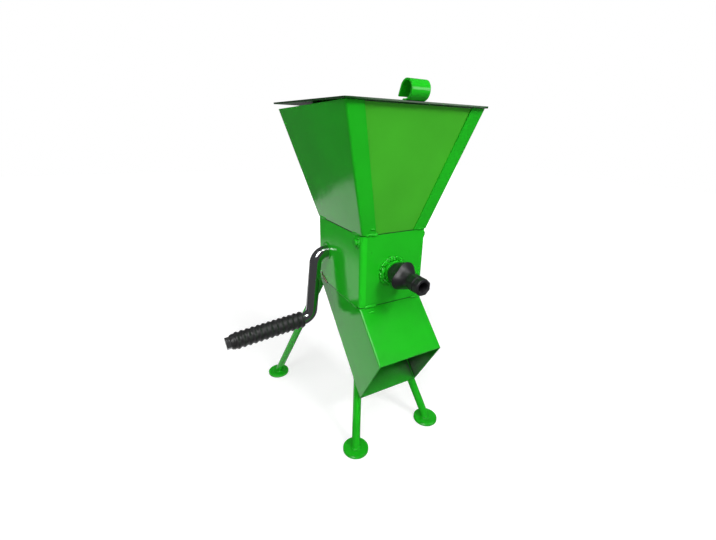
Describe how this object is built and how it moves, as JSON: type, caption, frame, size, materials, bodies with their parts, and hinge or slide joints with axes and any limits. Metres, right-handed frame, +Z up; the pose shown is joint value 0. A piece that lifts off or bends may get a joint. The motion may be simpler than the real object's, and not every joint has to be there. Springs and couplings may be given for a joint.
{
  "type": "crank nut cracker",
  "caption": "Hand-cranked nut cracker: lidded flared hopper on a box body with a toothed roller, a screw-adjusted jaw, a slanted outlet chute and splayed bar legs.",
  "frame": {"origin": "on the floor the feet stand on, midway under the square body", "axes": "+Z up; +Y to the back, away from the chute mouth and the knob; +X to the right seen from the front, so the crank is on -X"},
  "size_m": [0.3369, 0.2865, 0.4837],
  "materials": {
    "green_paint": "gloss",
    "crank_chrome": "polished",
    "grip_rubber": "satin",
    "black_plastic": "satin gloss",
    "tool_steel": "machined",
    "zinc_steel": "zinc plated",
    "dark_screw": "black oxide"
  },
  "bodies": {
    "root": {"body_shell": "green_paint", "chute_shell": "green_paint", "hopper_left_panel": "green_paint", "hopper_right_panel": "green_paint", "hopper_front_panel": "green_paint", "hopper_back_panel": "green_paint", "left_shaft_bush": "green_paint", "right_shaft_bush": "green_paint", "jaw_pivot_pin": "green_paint", "adjuster_nut": "green_paint", "adjuster_weld": "green_paint", "front_left_leg": "green_paint", "front_right_leg": "green_paint", "back_left_leg": "green_paint", "back_right_leg": "green_paint", "front_left_foot": "green_paint", "front_right_foot": "green_paint", "back_left_foot": "green_paint", "back_right_foot": "green_paint", "left_hinge_leaf": "green_paint", "right_hinge_leaf": "green_paint", "lid_hinge_pin": "zinc_steel"},
    "crank": {"crank_rod": "crank_chrome", "crank_grip": "grip_rubber", "toothed_roller": "tool_steel", "roller_pin": "tool_steel", "left_shaft_spacer": "zinc_steel", "right_shaft_spacer": "zinc_steel", "shaft_collar": "zinc_steel", "collar_screw": "dark_screw"},
    "jaw": {"jaw_plate": "tool_steel", "jaw_barrel": "tool_steel"},
    "push_pad": {"push_pad": "zinc_steel"},
    "adjuster": {"adjuster_screw": "zinc_steel", "adjuster_knob": "black_plastic"},
    "lid": {"lid_plate": "green_paint", "lid_handle": "green_paint", "lid_hinge_knuckle": "green_paint"}
  },
  "joints": [
    {"name": "crank_turn", "type": "hinge", "parent": "root", "child": "crank", "pos_m": [0, 0.0365, 0.2655], "axis": [1, 0, 0], "continuous": true},
    {"name": "lid_open", "type": "hinge", "parent": "root", "child": "lid", "pos_m": [0, 0.10508, 0.4642], "axis": [-1, 0, 0], "range_deg": [0, 115]},
    {"name": "pad_slide", "type": "slide", "parent": "root", "child": "push_pad", "axis": [0, 1, 0], "range_m": [-0.01, 0]},
    {"name": "knob_turn", "type": "hinge", "parent": "push_pad", "child": "adjuster", "pos_m": [0, 0, 0.2607], "axis": [0, 1, 0], "range_deg": [-1801, 0]},
    {"name": "jaw_swing", "type": "hinge", "parent": "root", "child": "jaw", "pos_m": [0, -0.055, 0.304], "axis": [1, 0, 0], "range_deg": [-9.72, 0]}
  ],
  "couplings": [
    {"joint": "knob_turn", "follows": "pad_slide", "rad_per_m": 3141.6},
    {"joint": "jaw_swing", "follows": "pad_slide", "rad_per_m": 16.883}
  ]
}
